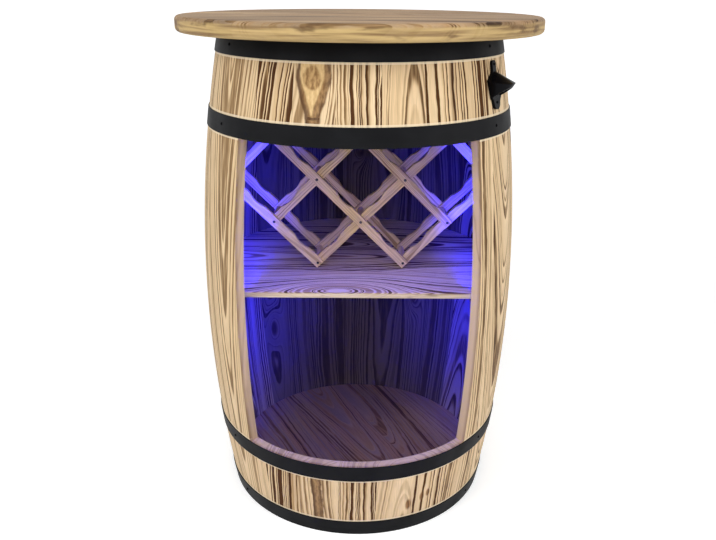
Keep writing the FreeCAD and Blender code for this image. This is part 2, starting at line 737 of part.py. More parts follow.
def make_top_strip():
    """The strip along the top of the opening, from one side strip to the other."""
    body = new_body("led_top")
    half = "(%s + %s)" % (OPENING_ANGLE, along_wall("led_setback + led_width"))
    tape = outlined(body, "led_top_tape", "XZ_Plane",
                    strip_section(STRIP_TOP, STRIP_TOP + " + led_width", "led_thickness", "0"))
    turn(body, tape, "2 * " + half)
    chip = outlined(body, "led_top_chip", "XZ_Plane",
                    chip_section(STRIP_TOP + " + (led_width - chip_size) / 2"))
    first = turn(body, chip, along_wall("chip_size"))
    count = int(number("2 * %s / %s" % (half, along_wall("chip_pitch"))))
    sweep = "%d * %s" % (count - 1, along_wall("chip_pitch"))
    pattern_around(body, first, (origin_feature(body, "Z_Axis"), [""]), sweep, count)
    face_angle(body, "0 - " + half)
    return body


def make_lead():
    """The strip's flat lead, along the wall under the shelf to the controller."""
    body = new_body("led_lead")
    bottom = LEAD_TOP + " - lead_width"
    section = outlined(body, "led_lead_section", "XZ_Plane",
                       strip_section(bottom, LEAD_TOP, "led_thickness", "0"))
    start = "(%s + %s)" % (STRIP_ANGLE, along_wall("led_width / 2"))
    end = "(controller_angle - %s)" % along_wall("controller_width / 2")
    turn(body, section, "%s - %s" % (end, start))
    face_angle(body, start)
    return body


def make_lighting():
    strips = []
    for name, side in (("led_left", "-1"), ("led_right", "1")):
        strip = make_side_strip(name)
        face_angle(strip, "%s * %s" % (side, STRIP_ANGLE))
        strips.append(strip)
    group("led_strip", strips + [make_top_strip(), make_lead()])

    box = doc.addObject("Part::Box", "led_controller")
    box.setExpression("Length", bound("controller_width"))
    box.setExpression("Width", bound("controller_depth"))
    box.setExpression("Height", bound("controller_height"))
    upright = "(shelf_height - controller_drop - controller_height / 2)"
    narrowest = "min(%s; %s)" % (wall(upright, "led_thickness"),
                                 wall(upright + " + controller_height", "led_thickness"))
    corner = "(sqrt(%s^2 - (controller_width / 2)^2) - controller_gap)" % narrowest
    back = inward_place("controller_angle", corner, upright)
    turned = Placement(back.Base, Rotation(Vector(0, 0, 1), number("controller_angle")))
    box.Placement = turned.multiply(Placement(Vector(-number("controller_width") / 2, 0, 0), Rotation()))
    register(box, "led_controller")

    grommet = new_body("cable_grommet")
    neck = "stave_thickness + 2 * grommet_slack"
    section = outlined(grommet, "grommet_section", "XZ_Plane", [
        ("grommet_hole_radius", "grommet_flange_height"),
        ("grommet_flange_radius", "grommet_flange_height"), ("grommet_flange_radius", "0"),
        ("grommet_neck_radius", "0"), ("grommet_neck_radius", "0 - (%s)" % neck),
        ("grommet_flange_radius", "0 - (%s)" % neck),
        ("grommet_flange_radius", "0 - (%s) - grommet_flange_height" % neck),
        ("grommet_hole_radius", "0 - (%s) - grommet_flange_height" % neck)])
    turn(grommet, section)
    grommet.Placement = grommet_place()
    register(grommet, "cable_grommet")


# ------------------------------------------------------------- bottle opener

def hood_section(body, name, height, tilt, half, reach):
    """A round-nosed section of the hood from the plate outwards, tilted down towards the nose."""
    sketch = new_sketch(body, name, "XY_Plane")
    sketch.AttachmentOffset = Placement(
        Vector(0, 0, number(height)), Rotation(Vector(1, 0, 0), number(tilt)))
    radius = "(((%s)^2 + (%s)^2) / (2 * (%s)))" % (half, reach, reach)
    nose = (radius, "0", "%s - (%s)" % (radius, reach))
    draw_outline(sketch, [("0 - (%s)" % half, "0", nose), ("0", "0 - (%s)" % reach, nose), (half, "0")])
    return sketch


def loft(body, kind, sections):
    feature = body.newObject("PartDesign::" + kind, sections[0].Name + "_lofted")
    feature.Profile = sections[0]
    feature.Sections = sections[1:]
    feature.Ruled = True
    body.Tip = feature
    return feature


def hood_sections(body, name, inset, drop):
    """The hood's roof, widest edge and foot, inset by a wall; the foot of a hollow runs lower."""
    return [hood_section(body, name + "_roof", "hood_top - %s" % inset, "0",
                         "upper_lobe_radius - " + inset, "hood_top_reach - " + inset),
            hood_section(body, name + "_edge", "hood_edge - %s" % inset, "hood_tilt",
                         "hood_width / 2 - " + inset, "hood_reach - " + inset),
            hood_section(body, name + "_foot", "0 - hood_foot - " + drop, "0",
                         "hood_foot_width / 2 - " + inset, "hood_foot_reach - " + inset)]


def make_opener():
    """Wall opener, drawn upright with its back on the XZ plane and its hood towards -Y."""
    body = new_body("bottle_opener")
    loft(body, "AdditiveLoft", hood_sections(body, "hood", "0", "hood_wall"))
    loft(body, "SubtractiveLoft", hood_sections(body, "hollow", "hood_wall", "2 * hood_wall"))
    rim = outlined(body, "opener_rim", "YZ_Plane", [
        ("0 - opener_plate_thickness", "0 - hood_foot"), ("0 - 2 * hood_reach", "hood_foot - 2 * hood_lip"),
        ("0 - 2 * hood_reach", "0 - 2 * hood_foot"), ("0 - opener_plate_thickness", "0 - 2 * hood_foot")])
    cut = body.newObject("PartDesign::Pocket", "opener_rim_cut")
    cut.Profile = rim
    cut.Midplane = True
    cut.setExpression("Length", bound("2 * hood_width"))
    body.Tip = cut
    upper = ("upper_lobe_radius", "0", "upper_lobe_rise")
    lower = ("lower_lobe_radius", "0", "0 - lower_lobe_drop")
    right = [("upper_lobe_radius", "upper_lobe_rise"), ("upper_lobe_radius", "hood_top"),
             ("hood_width / 2", "hood_edge"), ("plate_waist_width / 2", "0 - plate_waist_drop"),
             ("hood_foot_width / 2", "0 - hood_foot"), ("lower_lobe_radius", "0 - lower_lobe_drop")]
    left = [("0 - " + x, z) for x, z in reversed(right)]
    plate = outlined(body, "opener_plate", "XZ_Plane", (
        right[:-1] + [right[-1] + (lower,), ("0", "0 - lower_lobe_drop - lower_lobe_radius", lower)]
        + left[:-1] + [left[-1] + (upper,), ("0", "upper_lobe_rise + upper_lobe_radius", upper)]))
    pad(body, plate, "opener_plate_thickness")
    tooth = outlined(body, "opener_tooth", "XZ_Plane", [
        ("0 - tooth_width / 2", "0 - tooth_height"), ("tooth_width / 2", "0 - tooth_height"),
        ("tooth_width / 2", "0"), ("0 - tooth_width / 2", "0")])
    pad(body, tooth, "opener_plate_thickness + tooth_reach")
    body.Placement = opener_place()
    screws = holes_at(opener_screw_places(), "black_screw_radius", "2 * opener_plate_thickness")
    register(drilled("bottle_opener", body, screws), "bottle_opener")


# ------------------------------------------------------------ build and write

def check(node):
    """Stop if an object failed or a sub-part's shape is missing or not valid."""
    if "Invalid" in node.State or "Error" in node.State:
        raise RuntimeError("%s failed: %s" % (node.Label, node.State))
    if node in subparts and (node.Shape.isNull() or not node.Shape.isValid()):
        raise RuntimeError("%s has no valid shape" % node.Label)


make_staves()
make_hoops()
make_heads()
make_tabletop()
make_shelf()
make_shelf_cleats()
make_screws()
make_rack()
make_lighting()
make_opener()
doc.recompute()

for item in doc.Objects:
    check(item)
os.makedirs("parts", exist_ok=True)
for item in subparts:
    item.Shape.exportStep("parts/%s.step" % item.Label)
print("%d sub-parts, %d solids" % (len(subparts), sum(len(item.Shape.Solids) for item in subparts)))
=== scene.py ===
"""Looks of the barrel bar cabinet: flamed and brushed pine, black hoops, blue LED light inside.

The frame is the model's own: metres, origin on the ground at the barrel's axis, +Z up, the open
front towards -Y. Angles around the barrel are counted from the front, positive towards +X.
"""

import math

import bpy
from mathutils import Matrix, Vector


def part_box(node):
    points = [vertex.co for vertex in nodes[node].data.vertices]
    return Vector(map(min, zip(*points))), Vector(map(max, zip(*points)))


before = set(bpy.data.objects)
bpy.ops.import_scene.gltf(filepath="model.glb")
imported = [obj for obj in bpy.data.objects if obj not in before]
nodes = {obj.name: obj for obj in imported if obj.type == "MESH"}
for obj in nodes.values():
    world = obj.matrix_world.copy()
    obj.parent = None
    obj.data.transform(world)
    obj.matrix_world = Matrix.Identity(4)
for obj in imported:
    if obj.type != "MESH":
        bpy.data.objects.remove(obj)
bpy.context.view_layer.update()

STAVE_COUNT = 24
STAVE_TURN = math.radians(360 / STAVE_COUNT)
STAVE_THICKNESS = 0.015
# The staves' outer face bulges most at this height and radius, and bends with the profile radius.
BULGE_RADIUS = 0.250
BULGE_HEIGHT = 0.350
PROFILE_RADIUS = 1.970

OPENING_BOTTOM = 0.138
OPENING_TOP = 0.616


# ------------------------------------------------------------------ node bench

class Bench:
    """Adds and links nodes in one node tree; sums, noises and mixes give their node's output."""

    # Sockets of the Mix node when it mixes colours.
    MIX_SHARE, MIX_FIRST, MIX_SECOND, MIX_RESULT = 0, 6, 7, 2

    def __init__(self, tree):
        self.tree = tree

    def add(self, kind, inputs=(), output=0, **settings):
        """Adds a node with its settings and inputs, and gives one of its outputs."""
        node = self.tree.nodes.new(kind)
        for name, value in settings.items():
            setattr(node, name, value)
        for key, value in dict(inputs).items():
            self.feed(node.inputs[key], value)
        return node.outputs[output]

    def feed(self, socket, value):
        """Links an output to the socket, or sets the socket to a plain value."""
        if isinstance(value, bpy.types.NodeSocket):
            self.tree.links.new(value, socket)
        else:
            socket.default_value = value

    def math(self, operation, *values):
        return self.add("ShaderNodeMath", enumerate(values), operation=operation)

    def plus(self, first, *others):
        for other in others:
            first = self.math("ADD", first, other)
        return first

    def times(self, first, *others):
        for other in others:
            first = self.math("MULTIPLY", first, other)
        return first

    def minus(self, first, second):
        return self.math("SUBTRACT", first, second)

    def over(self, first, second):
        return self.math("DIVIDE", first, second)

    def distance(self, first, second):
        """How far off the middle a place is, from its two steps at a right angle."""
        return self.math("SQRT", self.plus(self.times(first, first), self.times(second, second)))

    def near(self, value, aim, reach):
        """1 where the value is within reach of its aim, and 0 elsewhere."""
        return self.math("COMPARE", value, aim, reach)

    def split(self, place):
        """The x, y and z of a place."""
        node = self.tree.nodes.new("ShaderNodeSeparateXYZ")
        self.feed(node.inputs[0], place)
        return tuple(node.outputs)

    def noise(self, place, scale, shift=(0.0, 0.0, 0.0), detail=2.0, roughness=0.5):
        """Smooth noise from 0 to 1; the three parts of the place are scaled and then shifted."""
        parts = [self.plus(self.times(part, factor), step)
                 for part, factor, step in zip(place, scale, shift)]
        return self.add("ShaderNodeTexNoise", {
            "Vector": self.add("ShaderNodeCombineXYZ", enumerate(parts)), "Scale": 1.0,
            "Detail": detail, "Roughness": roughness})

    def swing(self, noise, reach):
        """Turns noise into a shift between about -reach and +reach."""
        return self.times(self.minus(noise, 0.5), 2.0 * reach)

    def chance(self, value):
        """A steady random number from 0 to 1 for each value."""
        return self.add("ShaderNodeTexWhiteNoise", {"W": value}, noise_dimensions="1D")

    def ease(self, value, low, high, start=0.0, end=1.0):
        """Runs smoothly from start to end while the value goes from low to high."""
        return self.add("ShaderNodeMapRange", {
            "Value": value, "From Min": low, "From Max": high, "To Min": start, "To Max": end},
            interpolation_type="SMOOTHSTEP")

    def mix(self, share, first, second, blend="MIX"):
        """Goes from the first colour to the second as the share goes from 0 to 1."""
        return self.add(
            "ShaderNodeMix",
            {self.MIX_SHARE: share, self.MIX_FIRST: first, self.MIX_SECOND: second},
            output=self.MIX_RESULT, data_type="RGBA", blend_type=blend)

    def draw(self, value, low, high):
        """A steady random number from low to high for each value."""
        return self.ease(self.chance(value), 0.0, 1.0, low, high)

    def scale_color(self, color, red, green, blue):
        """Multiplies the red, green and blue of a colour."""
        factors = self.add("ShaderNodeCombineColor", {0: red, 1: green, 2: blue})
        return self.mix(1.0, color, factors, "MULTIPLY")


def socket_type(value):
    """The kind of group socket that holds a number, a colour or a vector."""
    if isinstance(value, float):
        return "NodeSocketFloat"
    return "NodeSocketColor" if len(value) == 4 else "NodeSocketVector"


def new_group(name, inputs, outputs):
    """A shader group with named inputs (name, default) and outputs (name, kind)."""
    tree = bpy.data.node_groups.new(name, "ShaderNodeTree")
    for label, value in inputs:
        socket = tree.interface.new_socket(label, in_out="INPUT", socket_type=socket_type(value))
        socket.default_value = value
    for label, kind in outputs:
        tree.interface.new_socket(label, in_out="OUTPUT", socket_type="NodeSocket" + kind)
    given = tree.nodes.new("NodeGroupInput").outputs
    result = tree.nodes.new("NodeGroupOutput").inputs
    return tree, Bench(tree), given, result


def place_group(bench, tree, **values):
    """Puts a group into a tree; value names have underscores where the socket has spaces."""
    node = bench.tree.nodes.new("ShaderNodeGroup")
    node.node_tree = tree
    for name, value in values.items():
        bench.feed(node.inputs[name.replace("_", " ").title()], value)
    return node.outputs


def bent_radius(b, z, depth=0.0):
    """Distance of the staves' outer face from the barrel's axis, or of a face that deep inside it."""
    lift = b.minus(z, BULGE_HEIGHT)
    bend = b.math("SQRT", b.minus((PROFILE_RADIUS - depth) ** 2, b.times(lift, lift)))
    return b.plus(bend, BULGE_RADIUS - PROFILE_RADIUS)


# ------------------------------------------------------------------- wood grain

EARLY_WOOD = (0.80, 0.61, 0.38, 1.0)
LATE_WOOD = (0.068, 0.024, 0.005, 1.0)
WARM_WOOD = (0.58, 0.38, 0.18, 1.0)
BROWN_WOOD = (0.44, 0.25, 0.085, 1.0)
SINGED_WOOD = (0.29, 0.155, 0.045, 1.0)
SCORCHED_EARLY_WOOD = (0.30, 0.155, 0.06, 1.0)
SCORCHED_LATE_WOOD = (0.030, 0.012, 0.006, 1.0)
KNOT_CORE = (0.36, 0.19, 0.075, 1.0)
KNOT_RING = (0.10, 0.042, 0.016, 1.0)

# How far apart two seeds lie in the noises, and how much further in the burnt streaks' own noise.
SEED_STEP = 7.31
SCORCH_SEED_STEP = 1.7
# How far the rings stray from true circles (m): in long bends, in short ones and in depth.
SWAY = 0.008
RIPPLE = 0.0018
BOW = 0.010
# Scales of the noises, in cells to the metre: across the board, into it and along it.
SWAY_SCALE = (9.0, 9.0, 2.6)
RIPPLE_SCALE = (70.0, 70.0, 30.0)
BREAK_SCALE = (240.0, 240.0, 17.0)
FIBRE_SCALE = (1150.0, 1150.0, 34.0)
SCORCH_SCALE = (34.0, 34.0, 3.4)
TONE_SCALE = (14.0, 14.0, 1.2)
# The bow goes by the length alone, and by the seed as it is.
BOW_SCALE = (4.2, 1.0, 1.0)
# How many years the rings wander to either side, and the noise's cells to a year.
YEARS_ASTRAY = 1.6
STRAYING_PACE = 0.37
# A ring's late wood starts within the first range of the year by chance, takes this share of it to
# darken, and ends in the second range. It is weaker or stronger than bold by chance.
LATE_WOOD_STARTS = (0.12, 0.60)
LATE_WOOD_RISE = 0.36
LATE_WOOD_ENDS = (0.90, 1.0)
RING_STRENGTHS = (0.35, 1.35)
# The lines are broken up by a noise: its range, and the strengths that it gives.
BREAK_RANGE = (0.24, 0.62)
BREAK_STRENGTHS = (0.50, 1.20)
# The dark never covers the early wood by more than this share.
DARKEST = 0.97
# Where the burnt streaks and the warm parts begin and are full in their noises.
SCORCH_RANGE = (0.46, 0.70)
TONE_RANGE = (0.3, 0.7)
# The fibres' range of noise, and how much they darken and lighten the wood.
FIBRE_RANGE = (0.25, 0.75)
FIBRE_GLOW = (0.84, 1.12)


def make_grain_group():
    """Pine sawn from a log: rings around a pith line, dark late wood, fibres and burnt streaks.

    A cone of more than 0 closes the rings upwards, less than 0 downwards; slant leans the lines.
    """
    tree, b, given, result = new_group(
        "flamed_pine",
        (("Across", 0.0), ("Depth", 0.0), ("Along", 0.0), ("Pith Across", 0.0), ("Pith Depth", 0.04),
         ("Cone", 0.0), ("Slant", 0.0), ("Ring Width", 0.005), ("Wave", 1.0), ("Seed", 0.0),
         ("Bold", 0.6), ("Burn", 0.4), ("Push", 0.0), ("Knot", 0.0),
         ("Pale", EARLY_WOOD), ("Dark", LATE_WOOD)),
        (("Color", "Color"), ("Height", "Float"), ("Roughness", "Float")))
    across, depth, along = given["Across"], given["Depth"], given["Along"]
    place = (across, depth, along)
    seed = b.times(given["Seed"], SEED_STEP)
    aside = (seed, 0.0, 0.0)
    onwards = (0.0, 0.0, seed)

    # Distance from the pith, counted in years.
    sway = b.noise(place, SWAY_SCALE, aside)
    ripple = b.noise(place, RIPPLE_SCALE, aside, detail=2.5)
    bow = b.noise((along, seed, 0.0), BOW_SCALE, detail=1.0)
    sideways = b.plus(b.minus(across, given["Pith Across"]),
                      b.times(b.minus(along, BULGE_HEIGHT), given["Slant"]),
                      b.times(b.swing(sway, SWAY), given["Wave"]),
                      b.times(b.swing(ripple, RIPPLE), given["Wave"]))
    inwards = b.plus(b.minus(depth, given["Pith Depth"]), b.times(b.swing(bow, BOW), given["Wave"]))
    reach = b.plus(b.distance(sideways, inwards), b.times(along, given["Cone"]), given["Push"])
    years = b.over(reach, given["Ring Width"])
    uneven = b.add("ShaderNodeTexNoise", {
        "W": b.plus(b.times(years, STRAYING_PACE), seed), "Scale": 1.0, "Detail": 1.0},
        noise_dimensions="1D")
    years = b.plus(years, b.swing(uneven, YEARS_ASTRAY))
    ring = b.plus(b.math("FLOOR", years), seed)
    ripe = b.math("FRACT", years)

    # The dark late wood of each ring, broken up along its length.
    start = b.draw(ring, *LATE_WOOD_STARTS)
    late = b.times(b.ease(ripe, start, b.plus(start, LATE_WOOD_RISE)),
                   b.ease(ripe, *LATE_WOOD_ENDS, 1.0, 0.0))
    strength = b.draw(b.plus(ring, 0.5), *RING_STRENGTHS)
    broken = b.noise(place, BREAK_SCALE, onwards)
    line = b.times(late, strength, given["Bold"], b.ease(broken, *BREAK_RANGE, *BREAK_STRENGTHS))

    # Fibres, burnt streaks and the board's own lighter and darker parts.
    fibre = b.noise(place, FIBRE_SCALE, onwards, detail=3.0, roughness=0.6)
    far_aside = (b.times(seed, SCORCH_SEED_STEP), 0.0, 0.0)
    scorch = b.noise(place, SCORCH_SCALE, far_aside, detail=3.0)
    scorched = b.times(b.ease(scorch, *SCORCH_RANGE), given["Burn"])
    tone = b.noise(place, TONE_SCALE, aside)

    # The colours, from the palest to the darkest, and a knot's own.
    early = b.mix(b.ease(tone, *TONE_RANGE), given["Pale"], b.mix(0.30, given["Pale"], WARM_WOOD))
    early = b.mix(b.times(b.ease(ripe, 0.1, 0.8), given["Bold"], 0.42), early, BROWN_WOOD)
    early = b.mix(b.times(scorched, 0.75), early, SCORCHED_EARLY_WOOD)
    deep = b.mix(b.times(scorched, 0.8), given["Dark"], SCORCHED_LATE_WOOD)
    singed = b.mix(0.5, b.mix(0.5, early, deep), SINGED_WOOD)
    share = b.math("MINIMUM", b.times(line, b.plus(1.0, b.times(scorched, 0.5))), DARKEST)
    wood = b.mix(b.ease(share, 0.0, 0.60), early, singed)
    wood = b.mix(b.ease(share, 0.35, DARKEST), wood, deep)
    wood = b.mix(given["Knot"], wood, b.mix(b.ease(ripe, 0.2, 0.9), KNOT_CORE, KNOT_RING))
    glow = b.ease(fibre, *FIBRE_RANGE, *FIBRE_GLOW)
    b.feed(result["Color"], b.scale_color(wood, glow, glow, glow))
    b.feed(result["Height"], b.plus(b.times(line, 0.8), b.times(fibre, 0.35)))
    b.feed(result["Roughness"], b.plus(0.50, b.times(line, 0.12), b.times(fibre, 0.12)))
    return tree


def make_stave_place_group():
    """Place in a bent stave that stands at an angle around the barrel, from its middle line."""
    tree, b, given, result = new_group(
        "stave_place", (("Place", (0.0, 0.0, 0.0)), ("Turn", 0.0)),
        (("Across", "Float"), ("Depth", "Float"), ("Along", "Float")))
    x, y, z = b.split(given["Place"])
    cosine, sine = b.math("COSINE", given["Turn"]), b.math("SINE", given["Turn"])
    out = b.minus(b.times(x, sine), b.times(y, cosine))
    b.feed(result["Across"], b.plus(b.times(x, cosine), b.times(y, sine)))
    b.feed(result["Depth"], b.minus(out, bent_radius(b, z)))
    b.feed(result["Along"], z)
    return tree


# A knot is longer along the board than across it: across, it measures this share of its length.
KNOT_SLIMNESS = 0.45


def make_knot_group():
    """A knot: rings swerve around its place, and its core shows where it was cut through."""
    tree, b, given, result = new_group(
        "knot", (("Across", 0.0), ("Along", 0.0), ("Centre Across", 0.0), ("Centre Along", 0.0),
                 ("Size", 0.012), ("Swerve", 0.02)),
        (("Push", "Float"), ("Core", "Float")))
    aside = b.minus(given["Across"], given["Centre Across"])
    onwards = b.times(b.minus(given["Along"], given["Centre Along"]), KNOT_SLIMNESS)
    share = b.over(b.distance(aside, onwards), given["Size"])
    fall = b.math("EXPONENT", b.times(share, share, -0.5))
    b.feed(result["Push"], b.times(fall, given["Swerve"]))
    b.feed(result["Core"], b.ease(share, 0.35, 0.75, 1.0, 0.0))
    return tree


# The large knot, in metres. Its burnt rim and its inside widen between two heights, from the first
# half width to the second, and lie a little to the left of the stave's middle line.
RIM_HEIGHTS = (0.640, 0.702)
RIM_HALF_WIDTHS = (0.0095, 0.0235)
RIM_LEFT = 0.001
INSIDE_HEIGHTS = (0.650, 0.712)
INSIDE_HALF_WIDTHS = (0.0008, 0.0165)
INSIDE_LEFT = 0.003
# The inside starts between these heights, over a burnt line.
INSIDE_START = (0.6535, 0.6575)
BURNT_LINE = 0.6515
BURNT_LINE_HALF_WIDTH = 0.0018
# The speckled core inside it: its middle, and half its sizes.
CORE_LEFT = 0.0030
CORE_HEIGHT = 0.7015
CORE_HALF_WIDTH = 0.0130
CORE_HALF_HEIGHT = 0.0160
# How far the outlines of the rim, of the inside and of the heights wobble.
RIM_WOBBLE = 0.0045
INSIDE_WOBBLE = 0.0035
HEIGHT_WOBBLE = 0.003
# Scales of the wobble and of the specks, and where each noise is cut through.
WOBBLE_SCALE = (45.0, 1.0, 45.0)
WOBBLE_CUT = 3.1
SPECK_SCALE = (260.0, 1.0, 110.0)
SPECK_CUT = 0.0


def make_knot_figure_group():
    """A large knot cut lengthwise: a burnt rim that narrows downwards around a speckled core."""
    tree, b, given, result = new_group(
        "knot_figure", (("Across", 0.0), ("Along", 0.0)),
        (("Rim", "Float"), ("Char", "Float"), ("Inside", "Float"), ("Core", "Float"),
         ("Speck", "Float")))
    across, along = given["Across"], given["Along"]
    wobble = b.noise((across, WOBBLE_CUT, along), WOBBLE_SCALE, detail=3.0)
    speck = b.noise((across, SPECK_CUT, along), SPECK_SCALE, detail=4.0)
    height = b.plus(along, b.swing(wobble, HEIGHT_WOBBLE))
    off_rim = b.plus(b.math("ABSOLUTE", b.plus(across, RIM_LEFT)), b.swing(wobble, RIM_WOBBLE))
    off_inside = b.plus(b.math("ABSOLUTE", b.plus(across, INSIDE_LEFT)),
                        b.swing(wobble, INSIDE_WOBBLE))
    rim = b.ease(height, *RIM_HEIGHTS, *RIM_HALF_WIDTHS)
    inside = b.ease(height, *INSIDE_HEIGHTS, *INSIDE_HALF_WIDTHS)

    b.feed(result["Rim"], b.ease(b.minus(off_rim, rim), -0.0024, 0.0006, 1.0, 0.0))
    within = b.ease(b.minus(off_inside, inside), -0.0016, 0.0016, 1.0, 0.0)
    b.feed(result["Inside"], b.times(within, b.ease(height, *INSIDE_START)))
    # The rim is charred along its outline, all over on the left and in specks on the right.
    patchy = b.ease(across, -0.002, 0.008, 1.0, b.ease(speck, 0.40, 0.60, 0.90, 0.35))
    char = b.times(b.ease(b.minus(rim, off_rim), 0.0035, 0.0085, 1.0, 0.0), patchy)
    burnt_line = b.near(height, BURNT_LINE, BURNT_LINE_HALF_WIDTH)
    b.feed(result["Char"], b.math("MAXIMUM", burnt_line, char))
    core = b.distance(b.over(b.plus(across, CORE_LEFT), CORE_HALF_WIDTH),
                      b.over(b.minus(along, CORE_HEIGHT), CORE_HALF_HEIGHT))
    b.feed(result["Core"], b.ease(b.plus(core, b.swing(wobble, 0.30)), 0.80, 1.05, 1.0, 0.0))
    b.feed(result["Speck"], speck)
    return tree


GRAIN = make_grain_group()
STAVE_PLACE = make_stave_place_group()
KNOT = make_knot_group()
KNOT_FIGURE = make_knot_figure_group()


# ------------------------------------------------------------- material helpers

def new_material(name):
    """A material with one Principled shader; gives the material, its bench and the shader's inputs."""
    material = bpy.data.materials.new(name)
    material.use_nodes = True
    bench = Bench(material.node_tree)
    return material, bench, material.node_tree.nodes["Principled BSDF"].inputs


def object_place(bench):
    """The place in Object coordinates."""
    return bench.add("ShaderNodeTexCoord", output="Object")


BRUSHED_DEPTH = 0.0006
BRUSHED_STRENGTH = 0.55
WOOD_GLOSS = 0.16


def finish_wood(bench, shader, color, grain):
    """Colours the wood, and brushes its soft early wood lower than the hard late wood."""
    bench.feed(shader["Base Color"], color)
    bench.feed(shader["Roughness"], grain["Roughness"])
    bump = bench.add("ShaderNodeBump", {
        "Height": grain["Height"], "Strength": BRUSHED_STRENGTH, "Distance": BRUSHED_DEPTH})
    bench.feed(shader["Normal"], bump)
    shader["Specular IOR Level"].default_value = WOOD_GLOSS


def dress(material, *names):
    """Gives the finished material to CAD nodes."""
    for name in names:
        slots = nodes[name].data.materials
        slots.clear()
        slots.append(material)


# --------------------------------------------------------------------- staves

# Boards in sight around the barrel, by their place from the front: pith across and pith depth (m),
# cone, slant, ring width (m), wave, seed, bold, burn.
BOARDS = {
    -5: (0.100, 0.020, 0.02, 0.00, 0.0052, 1.0, 18, 0.65, 0.25),
    -4: (0.000, 0.010, -0.055, 0.00, 0.0060, 0.5, 17, 0.44, 0.22),
    -3: (0.000, 0.010, -0.055, 0.00, 0.0060, 0.5, 17, 0.44, 0.22),
    -2: (-0.100, 0.035, 0.00, -0.12, 0.0062, 1.0, 27, 1.40, 0.50),
    -1: (0.100, 0.050, 0.00, 0.00, 0.0066, 1.0, 14, 0.60, 0.25),
    0: (0.130, 0.020, 0.00, 0.00, 0.0050, 1.5, 1, 1.25, 0.35),
    1: (0.016, 0.026, 0.05, 0.00, 0.0042, 0.9, 22, 0.45, 0.22),
    2: (-0.090, 0.020, 0.00, 0.00, 0.0076, 1.4, 23, 1.40, 0.45),
    3: (0.100, 0.020, 0.00, 0.02, 0.0090, 1.2, 24, 0.50, 0.30),
    4: (0.014, 0.018, -0.13, 0.00, 0.0060, 0.7, 6, 0.62, 0.20),
    5: (-0.080, 0.020, 0.03, 0.00, 0.0054, 1.0, 5, 0.70, 0.25),
}
# Boards whose grain the flame brought out more strongly over the opening: bold there.
BOLD_ON_TOP = {3: 1.60, 4: 0.95}
# Over the opening that boldness is reached within this height.
BOLD_RISE = 0.026
# Staves that were cut side by side from one wide board share its figure, seen from its own turn.
SHARED_TURN = {-3: -3.5, -4: -3.5}
# Figures that the boards at the back take in turn: pith across, pith depth, cone, ring width, bold.
BACK_FIGURES = (
    (0.110, 0.020, 0.00, 0.0058, 0.85),
    (0.006, 0.012, -0.07, 0.0062, 0.70),
    (-0.090, 0.030, 0.02, 0.0050, 0.95),
    (-0.008, 0.022, 0.10, 0.0064, 0.72),
    (0.080, 0.030, 0.00, 0.0070, 1.05),
)
BACK_SLANT = 0.0
BACK_WAVE = 1.1
BACK_BURN = 0.40
BACK_FIRST_SEED = 20
# Knots: board, place across, height, size and swerve (m).
KNOTS = (
    (-1, 0.000, 0.700, 0.024, 0.020),
    (5, 0.004, 0.610, 0.008, 0.022),
    (1, 0.023, 0.052, 0.0085, 0.0),
    (2, -0.0135, 0.062, 0.0070, 0.0),
    (2, -0.003, 0.066, 0.0060, 0.0),
    (-7, 0.006, 0.420, 0.010, 0.030),
    (8, -0.008, 0.560, 0.011, 0.030),
    (10, 0.006, 0.230, 0.010, 0.030),
    (12, -0.006, 0.520, 0.009, 0.026),
    (-9, 0.004, 0.180, 0.011, 0.030),
    (-11, -0.008, 0.600, 0.010, 0.028),
)
KNOT_FIGURE_BOARD = -1
# The opening is sawn along the middle of this board on each side.
JAMB_BOARD = 3
# Heights of the thin pale lines that the flame left beside the hoops, and half their width; they
# are on the outer face alone, and end between these depths.
PALE_LINES = (0.0281, 0.1099, 0.1396, 0.6144, 0.6441, 0.7199)
PALE_LINE_HALF_WIDTH = 0.0015
PALE_LINE_DEPTHS = (-0.004, -0.003)
PALE_LINE_STRENGTH = 0.8
# Soot on the inner faces, darkened further towards the back as painted shade: the last board from the
# front that has it so strong, and its share.
SOOT_AND_SHADE_INSIDE = ((5, 0.35), (8, 0.66), (STAVE_COUNT // 2, 0.88))
SOOT_AND_SHADE_DEPTH = 0.0006
# A face within this distance of the saw's cut is sawn; it is browned near its outer edge.
SAWN_REACH = 0.0003
SAWN_STRENGTH = 0.75
BROWNED_DEPTHS = (-0.0065, -0.0010)

PALE_LINE = (0.82, 0.68, 0.48, 1.0)
# The inner faces' dark: soot, with painted shade of the cabinet's inside over it.
SOOT_AND_SHADE_DARK = (0.030, 0.020, 0.016, 1.0)
SAWN_WOOD = (0.52, 0.375, 0.225, 1.0)
BROWNED_EDGE = (0.22, 0.125, 0.055, 1.0)
# The large knot's own colours.
RIM_DARK = (0.17, 0.085, 0.030, 1.0)
RIM_LIGHT = (0.37, 0.215, 0.088, 1.0)
RIM_CHAR = (0.072, 0.028, 0.010, 1.0)
INSIDE_DARK = (0.60, 0.40, 0.18, 1.0)
INSIDE_LIGHT = (0.78, 0.57, 0.29, 1.0)
CORE_DARK = (0.20, 0.10, 0.035, 1.0)
CORE_LIGHT = (0.48, 0.30, 0.125, 1.0)


def board_figure(board):
    """Grain values of a board; the back repeats a few figures, each with its own seed."""
    if board in BOARDS:
        return BOARDS[board]
    across, depth, cone, ring, bold = BACK_FIGURES[board % len(BACK_FIGURES)]
    seed = board % STAVE_COUNT + BACK_FIRST_SEED
    return across, depth, cone, BACK_SLANT, ring, BACK_WAVE, seed, bold, BACK_BURN


